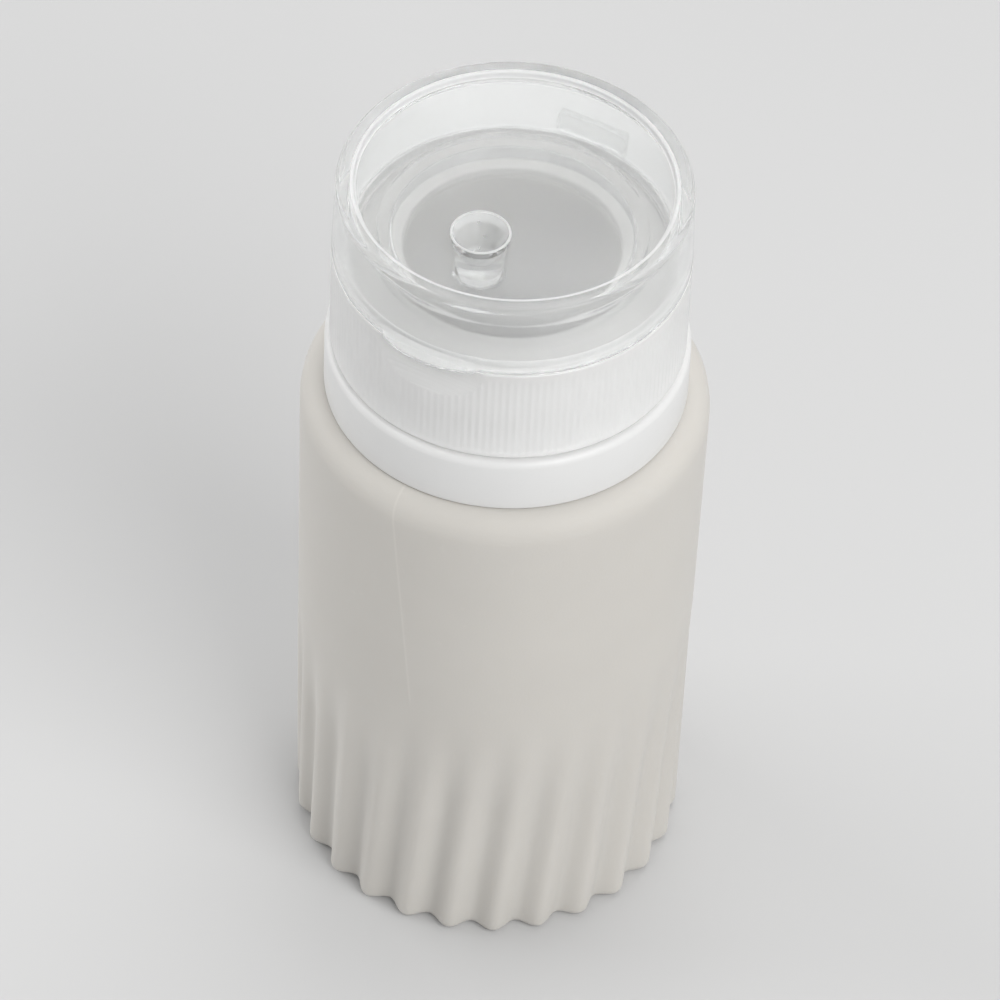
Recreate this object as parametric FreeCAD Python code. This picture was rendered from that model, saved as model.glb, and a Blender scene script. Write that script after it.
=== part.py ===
import FreeCAD, Part
import math
import os

from FreeCAD import Placement, Rotation, Vector

# Travel bottle of soft silicone with a screw cap and a flip lid.
# Millimetres. +Z is up, the origin is the middle of the base, and the thumb side of the lid is -Y.

# Silicone bottle
BODY_HEIGHT = 64.5
BODY_RADIUS = 20.9
BODY_DRAFT = 0.3
BODY_WALL = 2.5
BODY_FLOOR = 2.6
SHOULDER_WALL = 2.4
SHOULDER_ROUND = 3.0
BASE_ROUND = 1.2
BASE_ROUND_STEPS = 3
CAVITY_ROUND = 2.5
BASE_RECESS_RADIUS = 14.0
BASE_RECESS_DEPTH = 0.8
NECK_HEIGHT = 16.9
NECK_BORE_RADIUS = 11.0
NECK_WALL = 2.2
LIP_OVERHANG = 1.7
LIP_THICKNESS = 2.0

# Flutes in the lower part of the bottle, deepest at the base. The twist is from the base to their top,
# and the crest angle is the direction of one crest at the base.
FLUTE_COUNT = 26
FLUTE_DEPTH = 1.3
FLUTE_LENGTH = 34.0
FLUTE_FADE = 14.0
FLUTE_FADE_DEPTH = 0.8
FLUTE_TWIST = 7.5
CREST_ANGLE = -101.3

# White ring round the neck
RING_FIT = 0.1
TUBE_WALL = 1.6
COLLAR_HEIGHT = 6.5
COLLAR_PROUD = 0.5
COLLAR_WALL = 1.6
COLLAR_WEB = 1.6
COLLAR_ROUND = 0.8

# Thread between the ring and the cap
THREAD_PITCH = 3.0
THREAD_DEPTH = 1.0
THREAD_CLEARANCE = 0.3
THREAD_ROOT_WIDTH = 1.5
THREAD_CREST_WIDTH = 0.7
THREAD_SUNK = 0.4
THREAD_TOP_MARGIN = 0.6
THREAD_START_ANGLE = 35.0
RING_THREAD_TURNS = 1.25
CAP_THREAD_TURNS = 1.0

# Soft washer between the lip and the cap
WASHER_THICKNESS = 1.0
WASHER_SETBACK = 0.2
WASHER_EDGE_GAP = 0.4
SEAL_GAP = 0.05

# Screw cap
SKIRT_WALL = 1.8
SKIRT_GAP = 0.3
SKIRT_EDGE_ROUND = 0.4
WEB_THICKNESS = 1.35
RIM_HEIGHT = 0.8
TURRET_RADIUS = 13.8
TURRET_WALL = 1.3
DECK_RISE = 2.7
DECK_THICKNESS = 1.3
SCOOP_ROUND = 8.0
SCOOP_DEPTH = 1.0
SCOOP_DROP = 0.5

# Flip lid
LID_GAP = 0.15
LID_HEIGHT = 8.6
LID_WALL = 1.3
LID_TOP = 1.2
LID_RECESS = 0.6
LID_DRAFT = 0.3
LID_ROUND = 0.6
LID_RIM_GAP = 0.3
THUMB_WIDTH = 11.0
THUMB_PROUD = 0.9
THUMB_HEIGHT = 1.8

# Plug pin under the lid and its orifice in the deck
PLUG_OFFSET = 7.2
PLUG_ROOT_RADIUS = 2.9
PLUG_TIP_RADIUS = 2.2
PLUG_DIP = 0.8
PLUG_TIP_ROUND = 0.3
CORE_RADIUS = 2.8
CORE_FLOOR_RADIUS = 1.3
CORE_DEPTH = 3.6
CORE_ROUND = 0.9
ORIFICE_CLEARANCE = 0.15

# Living hinge
HINGE_WIDTH = 8.0
HINGE_LAND_PROUD = 0.25
STRAP_REACH = 2.2
STRAP_THICKNESS = 0.45
STRAP_GROOVE_DEPTH = 0.2
STRAP_GROOVE_WIDTH = 0.9

# Levels, from the base up
fade_z = FLUTE_LENGTH - FLUTE_FADE
shoulder_z = BODY_HEIGHT
collar_top_z = shoulder_z + COLLAR_HEIGHT
skirt_foot_z = collar_top_z + SKIRT_GAP
lip_top_z = shoulder_z + NECK_HEIGHT
ring_top_z = lip_top_z - LIP_THICKNESS
washer_top_z = lip_top_z + WASHER_THICKNESS
web_foot_z = washer_top_z + SEAL_GAP
web_top_z = web_foot_z + WEB_THICKNESS
parting_z = web_top_z - RIM_HEIGHT
deck_top_z = parting_z + DECK_RISE
deck_foot_z = deck_top_z - DECK_THICKNESS
lid_foot_z = parting_z + LID_GAP
lid_top_z = lid_foot_z + LID_HEIGHT
plate_top_z = lid_top_z - LID_RECESS
plate_foot_z = plate_top_z - LID_TOP

# Radii, from the bore out
base_radius = BODY_RADIUS - BODY_DRAFT
cavity_radius = BODY_RADIUS - BODY_WALL
neck_radius = NECK_BORE_RADIUS + NECK_WALL
lip_radius = neck_radius + LIP_OVERHANG
ring_bore_radius = neck_radius + RING_FIT
tube_radius = ring_bore_radius + TUBE_WALL
ring_crest_radius = tube_radius + THREAD_DEPTH
skirt_bore_radius = ring_crest_radius + THREAD_CLEARANCE
cap_crest_radius = tube_radius + THREAD_CLEARANCE
skirt_radius = skirt_bore_radius + SKIRT_WALL
collar_radius = skirt_radius + COLLAR_PROUD
lid_bore_radius = skirt_radius - LID_WALL
rim_radius = lid_bore_radius - LID_RIM_GAP
hinge_land_y = skirt_radius + HINGE_LAND_PROUD


def solid_of(shape):
    """The one clean solid in a shape."""
    clean = shape.removeSplitter()
    return clean.Solids[0]


def revolved(points):
    """A solid of revolution about Z from a closed outline of (radius, height) points."""
    corners = [Vector(radius, 0, height) for radius, height in points]
    outline = Part.makePolygon(corners + corners[:1])
    return Part.Face(outline).revolve(Vector(0, 0, 0), Vector(0, 0, 1), 360)


def block(width, y_low, y_high, z_low, z_high):
    """A box centred on x = 0."""
    corner = Vector(-width / 2, y_low, z_low)
    return Part.makeBox(width, y_high - y_low, z_high - z_low, corner)


def round_circles(solid, size, levels):
    """Rounds the full circular edges whose centre and radius are in levels, as (radius, height)."""
    chosen = []
    for edge in solid.Edges:
        curve = edge.Curve
        if not isinstance(curve, Part.Circle):
            continue
        for radius, height in levels:
            if abs(curve.Radius - radius) < 1e-4 and abs(curve.Center.z - height) < 1e-4:
                chosen.append(edge)
                break
    return solid.makeFillet(size, chosen)


def thread(foot_z, turns, root_radius, crest_radius):
    """A helical ridge, sunk a little below its root radius so that it joins the wall there."""
    outward = 1 if crest_radius > root_radius else -1
    sunk_radius = root_radius - outward * THREAD_SUNK
    helix = Part.makeHelix(THREAD_PITCH, THREAD_PITCH * turns, sunk_radius)
    corners = [
        Vector(sunk_radius, 0, -THREAD_ROOT_WIDTH / 2),
        Vector(root_radius, 0, -THREAD_ROOT_WIDTH / 2),
        Vector(crest_radius, 0, -THREAD_CREST_WIDTH / 2),
        Vector(crest_radius, 0, THREAD_CREST_WIDTH / 2),
        Vector(root_radius, 0, THREAD_ROOT_WIDTH / 2),
        Vector(sunk_radius, 0, THREAD_ROOT_WIDTH / 2),
    ]
    profile = Part.makePolygon(corners + corners[:1])
    ridge = Part.Wire(helix.Edges).makePipeShell([profile], True, True)
    ridge.Placement = Placement(Vector(0, 0, foot_z), Rotation(Vector(0, 0, 1), THREAD_START_ANGLE))
    return ridge


def wall_radius(height):
    """Radius of the bottle's plain wall, or of the flutes' crests, at a height."""
    return base_radius + BODY_DRAFT * height / BODY_HEIGHT


def wave_wire(height, crest_radius, depth):
    """A closed outline of arcs, turned with the twist: a crest, then a hollow, and so on round."""
    half_step = math.pi / FLUTE_COUNT
    first_angle = math.radians(CREST_ANGLE + FLUTE_TWIST * height / FLUTE_LENGTH)
    valley_radius = crest_radius - depth
    middle_radius = (crest_radius + valley_radius) / 2
    edges = []
    for index in range(2 * FLUTE_COUNT):
        angle = first_angle + half_step * index
        peak_radius = crest_radius if index % 2 == 0 else valley_radius
        spots = [
            (middle_radius, angle - half_step / 2),
            (peak_radius, angle),
            (middle_radius, angle + half_step / 2),
        ]
        points = [Vector(r * math.cos(a), r * math.sin(a), height) for r, a in spots]
        edges.append(Part.Arc(*points).toShape())
    return Part.Wire(edges)


def flute_depth(height):
    """Depth of the hollows under the crests at a height."""
    if height < fade_z:
        return FLUTE_DEPTH + (FLUTE_FADE_DEPTH - FLUTE_DEPTH) * height / fade_z
    return FLUTE_FADE_DEPTH * (FLUTE_LENGTH - height) / FLUTE_FADE


def fluted_wall():
    """The lower part of the bottle, whose leaning flutes fade out upwards and round in at the base."""
    wires = []
    for step in range(BASE_ROUND_STEPS + 1):
        turn = math.pi / 2 * step / BASE_ROUND_STEPS
        height = BASE_ROUND * (1 - math.cos(turn))
        inset = BASE_ROUND * (1 - math.sin(turn))
        wires.append(wave_wire(height, wall_radius(height) - inset, flute_depth(height)))
    # The loft pairs each arc with the nearest one on the next wire, so no step may twist by half an arc.
    for height in (fade_z / 2, fade_z, (fade_z + FLUTE_LENGTH) / 2, FLUTE_LENGTH):
        wires.append(wave_wire(height, wall_radius(height), flute_depth(height)))
    return Part.makeLoft(wires, True, True)


def bottle_body():
    """The silicone bottle: fluted wall, shoulder, neck and the lip that folds over the ring."""
    wall = revolved([
        (0, FLUTE_LENGTH),
        (wall_radius(FLUTE_LENGTH), FLUTE_LENGTH),
        (BODY_RADIUS, shoulder_z),
        (0, shoulder_z),
    ])
    wall = round_circles(wall, SHOULDER_ROUND, [(BODY_RADIUS, shoulder_z)])
    neck = Part.makeCylinder(neck_radius, NECK_HEIGHT, Vector(0, 0, shoulder_z))
    lip = Part.makeCylinder(lip_radius, LIP_THICKNESS, Vector(0, 0, ring_top_z))
    cavity_top_z = shoulder_z - SHOULDER_WALL
    cavity = Part.makeCylinder(cavity_radius, cavity_top_z - BODY_FLOOR, Vector(0, 0, BODY_FLOOR))
    cavity = round_circles(
        cavity, CAVITY_ROUND, [(cavity_radius, BODY_FLOOR), (cavity_radius, cavity_top_z)])
    bore_foot_z = cavity_top_z - CAVITY_ROUND
    bore = Part.makeCylinder(NECK_BORE_RADIUS, lip_top_z - bore_foot_z, Vector(0, 0, bore_foot_z))
    recess = Part.makeCylinder(BASE_RECESS_RADIUS, BASE_RECESS_DEPTH)
    return solid_of(fluted_wall().fuse([wall, neck, lip]).cut([cavity, bore, recess]))


def neck_ring():
    """The white ring: a hollow collar on the shoulder and a threaded tube up to the lip."""
    tube = Part.makeCylinder(tube_radius, ring_top_z - shoulder_z, Vector(0, 0, shoulder_z))
    collar = Part.makeCylinder(collar_radius, COLLAR_HEIGHT, Vector(0, 0, shoulder_z))
    collar = round_circles(collar, COLLAR_ROUND, [(collar_radius, collar_top_z)])
    hollow = revolved([
        (tube_radius, shoulder_z),
        (collar_radius - COLLAR_WALL, shoulder_z),
        (collar_radius - COLLAR_WALL, collar_top_z - COLLAR_WEB),
        (tube_radius, collar_top_z - COLLAR_WEB),
    ])
    bore = Part.makeCylinder(ring_bore_radius, NECK_HEIGHT, Vector(0, 0, shoulder_z))
    ridge = thread(ring_thread_foot_z(), RING_THREAD_TURNS, tube_radius, ring_crest_radius)
    return solid_of(tube.fuse(collar).cut(hollow).fuse(ridge).cut(bore))


def ring_thread_foot_z():
    """Height of the ring thread's first point, so that its last turn stops short of the ring's top."""
    climb = THREAD_PITCH * RING_THREAD_TURNS
    return ring_top_z - THREAD_TOP_MARGIN - THREAD_ROOT_WIDTH / 2 - climb


def seal_washer():
    """The washer that the cap presses on to the lip."""
    outer = skirt_bore_radius - WASHER_EDGE_GAP
    inner = NECK_BORE_RADIUS + WASHER_SETBACK
    return solid_of(revolved([
        (inner, lip_top_z),
        (outer, lip_top_z),
        (outer, washer_top_z),
        (inner, washer_top_z),
    ]))


def plug_radius(height):
    """The tapered plug's radius at a height between its tip and the lid's plate."""
    tip_z = deck_top_z - PLUG_DIP
    share = (height - tip_z) / (plate_top_z - tip_z)
    return PLUG_TIP_RADIUS + (PLUG_ROOT_RADIUS - PLUG_TIP_RADIUS) * share


def screw_cap():
    """The cap: skirt, thread, ledge for the lid, raised deck, orifice, scoop and hinge land."""
    turret_bore = TURRET_RADIUS - TURRET_WALL
    shell = revolved([
        (skirt_bore_radius, skirt_foot_z),
        (skirt_radius, skirt_foot_z),
        (skirt_radius, parting_z),
        (rim_radius, parting_z),
        (rim_radius, web_top_z),
        (TURRET_RADIUS, web_top_z),
        (TURRET_RADIUS, deck_top_z),
        (0, deck_top_z),
        (0, deck_foot_z),
        (turret_bore, deck_foot_z),
        (turret_bore, web_foot_z),
        (skirt_bore_radius, web_foot_z),
    ])
    shell = round_circles(
        shell, SKIRT_EDGE_ROUND, [(skirt_radius, skirt_foot_z), (TURRET_RADIUS, deck_top_z)])
    half_pitch = THREAD_PITCH / 2
    foot_z = ring_thread_foot_z() - half_pitch
    ridge = thread(foot_z, CAP_THREAD_TURNS, skirt_bore_radius, cap_crest_radius)
    land_root_y = skirt_bore_radius + SKIRT_WALL / 2
    land = block(HINGE_WIDTH, land_root_y, hinge_land_y, parting_z - STRAP_REACH, parting_z)
    orifice_radius = plug_radius(deck_top_z) + ORIFICE_CLEARANCE
    orifice = Part.makeCylinder(orifice_radius, DECK_THICKNESS, Vector(0, -PLUG_OFFSET, deck_foot_z))
    scoop_y = -(skirt_radius - SCOOP_DEPTH + SCOOP_ROUND)
    scoop_start = Vector(-skirt_radius, scoop_y, parting_z - SCOOP_DROP)
    scoop = Part.makeCylinder(SCOOP_ROUND, 2 * skirt_radius, scoop_start, Vector(1, 0, 0))
    return solid_of(shell.fuse([ridge, land]).cut([orifice, scoop]))


def thumb_lip():
    """The ledge under which a thumb lifts the lid."""
    ledge = revolved([
        (lid_bore_radius + LID_WALL / 2, lid_foot_z),
        (skirt_radius + THUMB_PROUD, lid_foot_z),
        (skirt_radius + THUMB_PROUD, lid_foot_z + THUMB_HEIGHT / 3),
        (skirt_radius - LID_DRAFT, lid_foot_z + THUMB_HEIGHT),
        (lid_bore_radius + LID_WALL / 2, lid_foot_z + THUMB_HEIGHT),
    ])
    reach = skirt_radius + 2 * THUMB_PROUD
    return ledge.common(block(THUMB_WIDTH, -reach, 0, lid_foot_z, lid_foot_z + THUMB_HEIGHT))


def plug_pin():
    """The tapered pin that stops the orifice, with its open core."""
    tip_z = deck_top_z - PLUG_DIP
    axis_foot = Vector(0, -PLUG_OFFSET, tip_z)
    length = plate_top_z - tip_z
    pin = Part.makeCone(PLUG_TIP_RADIUS, PLUG_ROOT_RADIUS, length, axis_foot)
    pin = round_circles(pin, PLUG_TIP_ROUND, [(PLUG_TIP_RADIUS, tip_z)])
    core_foot = Vector(0, -PLUG_OFFSET, plate_top_z - CORE_DEPTH)
    core = Part.makeCone(CORE_FLOOR_RADIUS, CORE_RADIUS, CORE_DEPTH, core_foot)
    core = round_circles(core, CORE_ROUND, [(CORE_FLOOR_RADIUS, core_foot.z)])
    return pin, core


def flip_lid():
    """The clear lid: drafted wall, sunk top plate, plug pin, thumb lip and hinge land."""
    top_radius = skirt_radius - LID_DRAFT
    top_bore = lid_bore_radius - LID_DRAFT
    shell = revolved([
        (lid_bore_radius, lid_foot_z),
        (skirt_radius, lid_foot_z),
        (top_radius, lid_top_z),
        (top_bore, lid_top_z),
        (top_bore, plate_top_z),
        (0, plate_top_z),
        (0, plate_foot_z),
        (top_bore, plate_foot_z),
    ])
    shell = round_circles(shell, LID_ROUND, [(top_radius, lid_top_z)])
    pin, core = plug_pin()
    land_root_y = lid_bore_radius + LID_WALL / 2
    land = block(HINGE_WIDTH, land_root_y, hinge_land_y, lid_foot_z, lid_foot_z + STRAP_REACH)
    return solid_of(shell.fuse([pin, thumb_lip(), land]).cut(core))


def hinge_strap():
    """The thin strap on both lands, grooved inside along the line where it folds."""
    fold_z = (parting_z + lid_foot_z) / 2
    foot_z = parting_z - STRAP_REACH
    head_z = lid_foot_z + STRAP_REACH
    outer_y = hinge_land_y + STRAP_THICKNESS
    half_groove = STRAP_GROOVE_WIDTH / 2
    corners = [
        (hinge_land_y, foot_z),
        (outer_y, foot_z),
        (outer_y, head_z),
        (hinge_land_y, head_z),
        (hinge_land_y, fold_z + half_groove),
        (hinge_land_y + STRAP_GROOVE_DEPTH, fold_z),
        (hinge_land_y, fold_z - half_groove),
    ]
    outline = [Vector(-HINGE_WIDTH / 2, y, z) for y, z in corners]
    face = Part.Face(Part.makePolygon(outline + outline[:1]))
    return solid_of(face.extrude(Vector(HINGE_WIDTH, 0, 0)))


def main():
    """Builds each piece, reports it and writes it as its own file."""
    makers = [bottle_body, neck_ring, seal_washer, screw_cap, flip_lid, hinge_strap]
    os.makedirs("parts", exist_ok=True)
    for make in makers:
        solid = make()
        solid.exportStep("parts/" + make.__name__ + ".step")
        box = solid.BoundBox
        print(make.__name__, "valid", solid.isValid(), "volume %.1f" % solid.Volume,
              "z %.2f to %.2f" % (box.ZMin, box.ZMax))


main()
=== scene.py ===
import logging
import math
from collections.abc import Callable, Sequence
from dataclasses import dataclass
from enum import Enum
from typing import Union

import bmesh
import bpy
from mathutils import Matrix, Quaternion, Vector


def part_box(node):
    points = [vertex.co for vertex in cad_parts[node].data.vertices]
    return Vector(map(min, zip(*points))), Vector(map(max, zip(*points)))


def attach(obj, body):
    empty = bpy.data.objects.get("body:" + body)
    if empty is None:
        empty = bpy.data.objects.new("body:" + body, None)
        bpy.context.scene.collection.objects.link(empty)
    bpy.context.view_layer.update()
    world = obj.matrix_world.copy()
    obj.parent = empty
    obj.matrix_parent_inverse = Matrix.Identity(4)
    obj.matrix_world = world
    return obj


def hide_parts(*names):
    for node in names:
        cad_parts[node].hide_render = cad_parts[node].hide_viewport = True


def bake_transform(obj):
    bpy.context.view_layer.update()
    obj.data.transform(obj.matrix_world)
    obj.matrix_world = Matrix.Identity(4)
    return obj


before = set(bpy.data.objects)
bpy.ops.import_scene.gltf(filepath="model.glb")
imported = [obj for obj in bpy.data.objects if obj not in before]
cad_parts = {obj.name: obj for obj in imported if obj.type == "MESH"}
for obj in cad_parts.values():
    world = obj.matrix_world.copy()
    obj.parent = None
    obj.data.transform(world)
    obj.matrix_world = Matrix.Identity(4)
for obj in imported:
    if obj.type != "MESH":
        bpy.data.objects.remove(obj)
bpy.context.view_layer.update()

# Looks of a soft silicone travel bottle with a screw cap and a flip lid.
# Metres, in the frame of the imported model: +Z up, thumb side of the lid at -Y, hinge at +Y.

log = logging.getLogger("travel_bottle")

MM = 0.001

Colour = tuple[float, float, float]


class Way(Enum):
    """What a tool does to the mesh that it meets."""

    CUT = "DIFFERENCE"
    JOIN = "UNION"


@dataclass(frozen=True)
class Corner:
    """A corner of a section: its place, its rounding, and the cuts in the run that leads to it."""

    across: float
    up: float
    rounding: float = 0.0
    cuts: int = 1

    @property
    def place(self) -> Vector:
        """The corner as a flat vector."""
        return Vector((self.across, self.up))


class Section:
    """The outline of a moulded wall: straight runs between corners, some of them rounded."""

    ARC_STEPS = 5

    def __init__(self) -> None:
        """Starts with no corners."""
        self.corners: list[Corner] = []

    def to(self, across: float, up: float, rounding: float = 0.0, cuts: int = 1) -> "Section":
        """Adds a corner.

        Args:
            across: Distance from the upright axis.
            up: Height.
            rounding: Radius of the corner, or 0 for a sharp one.
            cuts: How many parts the run up to this corner has.

        Returns:
            The section, so that corners can be written in a row.
        """
        self.corners.append(Corner(across, up, rounding, cuts))
        return self

    def bend(self, index: int) -> list[Vector]:
        """The points of one corner.

        Args:
            index: The corner's number.

        Returns:
            The corner alone, or the points of the arc that rounds it.
        """
        corner = self.corners[index]
        if corner.rounding == 0.0:
            return [corner.place]
        before = self.corners[index - 1].place - corner.place
        after = self.corners[(index + 1) % len(self.corners)].place - corner.place
        before.normalize()
        after.normalize()
        half = before.angle(after) / 2
        reach = corner.rounding / math.tan(half)
        middle = corner.place + (before + after).normalized() * corner.rounding / math.sin(half)
        first = (corner.place + before * reach - middle).normalized()
        last = (corner.place + after * reach - middle).normalized()
        shares = [step / self.ARC_STEPS for step in range(self.ARC_STEPS + 1)]
        return [middle + first.slerp(last, share) * corner.rounding for share in shares]

    def points(self) -> list[Vector]:
        """All points of the outline, in order.

        Returns:
            Flat vectors of distance from the axis and height.
        """
        line: list[Vector] = []
        for index, corner in enumerate(self.corners):
            bend = self.bend(index)
            if line:
                last = line[-1]
                line += [last.lerp(bend[0], step / corner.cuts) for step in range(1, corner.cuts)]
            line += bend
        return line


class Moulding:
    """A mesh on the bench, shaped with edit-mode operators as by hand."""

    WELD = 0.2e-6
    NEAR = 2e-6
    POINT_MODE = (True, False, False)

    def __init__(self, name: str, axis: Sequence[float] = (0.0, 0.0, 0.0)) -> None:
        """Starts the mesh as one point.

        Args:
            name: The object's name.
            axis: A point on the upright axis that the mesh is turned about.
        """
        self.axis = Vector(axis)
        if bpy.context.mode != "OBJECT":
            bpy.ops.object.mode_set(mode="OBJECT")
        bpy.ops.object.select_all(action="DESELECT")
        bpy.ops.mesh.primitive_plane_add(size=MM)
        self.piece = bpy.context.object
        self.piece.name = name
        self.piece.data.name = name
        bpy.ops.object.mode_set(mode="EDIT")
        bpy.context.tool_settings.mesh_select_mode = self.POINT_MODE
        bpy.ops.mesh.select_all(action="SELECT")
        bpy.ops.mesh.merge(type="CENTER")

    def trace(self, line: Sequence[Vector], closed: bool = False, facing: float = 0.0) -> None:
        """Draws a section by pulling point after point out of the last.

        Args:
            line: Points of the section, as distance from the axis and height.
            closed: Whether the last point joins the first.
            facing: Angle of the upright half plane that the section lies in.
        """
        outward = Vector((math.cos(facing), math.sin(facing), 0.0))
        places = [self.axis + outward * point.x + Vector((0.0, 0.0, point.y)) for point in line]
        bpy.ops.transform.translate(value=places[0])
        for last, place in zip(places, places[1:]):
            bpy.ops.mesh.extrude_vertices_move(TRANSFORM_OT_translate={"value": place - last})
        if closed:
            ends = (places[0], places[-1])
            self.pick(lambda spot: min((spot - end).length for end in ends) < self.NEAR)
            bpy.ops.mesh.edge_face_add()

    def turn(self, steps: int, angle: float = math.tau) -> None:
        """Spins the traced section about the axis, clockwise as seen from above.

        Args:
            steps: Columns of faces.
            angle: How far round.
        """
        bpy.ops.mesh.select_all(action="SELECT")
        bpy.ops.mesh.spin(steps=steps, angle=angle, center=self.axis, axis=(0.0, 0.0, 1.0))

    def repeat(self, copies: int) -> None:
        """Copies the whole mesh round the axis.

        Args:
            copies: How many there are in a full turn, the first one included.
        """
        share = math.tau * (copies - 1) / copies
        bpy.ops.mesh.select_all(action="SELECT")
        bpy.ops.mesh.spin(
            steps=copies - 1, angle=share, dupli=True, center=self.axis, axis=(0.0, 0.0, 1.0))

    def weld(self) -> None:
        """Merges doubled points, closes open ends and turns all faces outwards."""
        bpy.ops.mesh.select_all(action="SELECT")
        bpy.ops.mesh.remove_doubles(threshold=self.WELD)
        bpy.ops.mesh.select_all(action="SELECT")
        bpy.ops.mesh.fill_holes(sides=0)
        bpy.ops.mesh.select_all(action="SELECT")
        bpy.ops.mesh.normals_make_consistent(inside=False)

    def pick(self, test: Callable[[Vector], bool]) -> None:
        """Selects just the points whose place passes a test.

        Args:
            test: Takes a point's place and says whether it is chosen.
        """
        bpy.context.tool_settings.mesh_select_mode = self.POINT_MODE
        bpy.ops.mesh.select_all(action="DESELECT")
        mesh = bmesh.from_edit_mesh(self.piece.data)
        for point in mesh.verts:
            point.select_set(test(point.co))
        mesh.select_flush_mode()
        bmesh.update_edit_mesh(self.piece.data)

    def swell(self, factor: float) -> None:
        """Moves the picked points out from the axis, or in.

        Args:
            factor: New distance from the axis over the old.
        """
        bpy.ops.transform.resize(value=(factor, factor, 1.0), center_override=self.axis)

    def swing(self, angle: float) -> None:
        """Turns the picked points about the axis, counter-clockwise as seen from above.

        Args:
            angle: How far round.
        """
        bpy.ops.transform.rotate(value=-angle, orient_axis="Z", center_override=self.axis)

    def done(self) -> bpy.types.Object:
        """Leaves edit mode.

        Returns:
            The object.
        """
        if self.piece.mode == "EDIT":
            bpy.ops.object.mode_set(mode="OBJECT")
        return self.piece

    def apply(self, kind: str, **settings: object) -> None:
        """Adds a modifier and applies it.

        Args:
            kind: The modifier's type.
            **settings: Its settings.
        """
        self.done()
        bpy.ops.object.select_all(action="DESELECT")
        bpy.context.view_layer.objects.active = self.piece
        self.piece.select_set(True)
        modifier = self.piece.modifiers.new(kind.lower(), kind)
        for name, value in settings.items():
            setattr(modifier, name, value)
        bpy.ops.object.modifier_apply(modifier=modifier.name)

    def work(self, tool: "Moulding", way: Way) -> None:
        """Cuts a tool out of the mesh, or joins it on, and puts the tool away.

        Args:
            tool: The other mesh, which is used up.
            way: Whether it is cut out or joined on.
        """
        tool.done()
        self.apply("BOOLEAN", object=tool.piece, operation=way.value, solver="EXACT")
        mesh = tool.piece.data
        bpy.data.objects.remove(tool.piece)
        bpy.data.meshes.remove(mesh)

    def smooth(self, degrees: float = 32.0) -> None:
        """Shades the mesh smooth, with creases at sharper edges.

        Args:
            degrees: The angle from which an edge stays sharp.
        """
        self.done()
        bpy.ops.object.select_all(action="DESELECT")
        bpy.context.view_layer.objects.active = self.piece
        self.piece.select_set(True)
        bpy.ops.object.shade_smooth_by_angle(angle=math.radians(degrees))


class Turned(Moulding):
    """A moulding turned from one section."""

    def __init__(self, name: str, section: Section, columns: int, closed: bool = False,
                 axis: Sequence[float] = (0.0, 0.0, 0.0)) -> None:
        """Traces the section and turns it right round.

        Args:
            name: The object's name.
            section: Its outline, from the axis back to the axis, or closed.
            columns: Faces in a full turn.
            closed: Whether the outline closes on itself.
            axis: A point on the upright axis.
        """
        super().__init__(name, axis)
        self.trace(section.points(), closed)
        self.turn(columns)
        self.weld()


class Block(Moulding):
    """A box with rounded edges."""

    EDGE_STEPS = 3

    def __init__(self, name: str, low: Vector, high: Vector, rounding: float) -> None:
        """Shapes the box.

        Args:
            name: The object's name.
            low: Its lowest corner.
            high: Its highest corner.
            rounding: Radius of its edges.
        """
        super().__init__(name)
        size = high - low
        bpy.ops.transform.translate(value=low)
        bpy.ops.mesh.extrude_vertices_move(TRANSFORM_OT_translate={"value": (size.x, 0.0, 0.0)})
        bpy.ops.mesh.select_all(action="SELECT")
        bpy.ops.mesh.extrude_edges_move(TRANSFORM_OT_translate={"value": (0.0, size.y, 0.0)})
        bpy.ops.mesh.select_all(action="SELECT")
        bpy.ops.mesh.extrude_region_move(TRANSFORM_OT_translate={"value": (0.0, 0.0, size.z)})
        self.weld()
        bpy.ops.mesh.bevel(offset=rounding, segments=self.EDGE_STEPS)


class Thread(Moulding):
    """A screw thread's ridge, sunk a little into the wall that carries it."""

    STEPS_PER_TURN = 128

    def __init__(self, name: str, section: Section, foot: float, pitch: float, turns: float,
                 start: float) -> None:
        """Sweeps the ridge's section along its helix.

        Args:
            name: The object's name.
            section: The ridge's closed outline, about height 0.
            foot: Height of the helix's first point.
            pitch: Climb in one turn.
            turns: Length of the helix in turns.
            start: Angle of its first point.
        """
        super().__init__(name)
        line = [point + Vector((0.0, foot)) for point in section.points()]
        self.trace(line, closed=True, facing=start)
        self.apply(
            "SCREW", angle=math.tau * turns, screw_offset=pitch * turns,
            steps=round(self.STEPS_PER_TURN * turns), render_steps=round(self.STEPS_PER_TURN * turns))
        bpy.ops.object.mode_set(mode="EDIT")
        self.weld()


Number = Union[float, "Signal"]
Setting = Union[float, Sequence[float], "Signal"]


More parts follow.
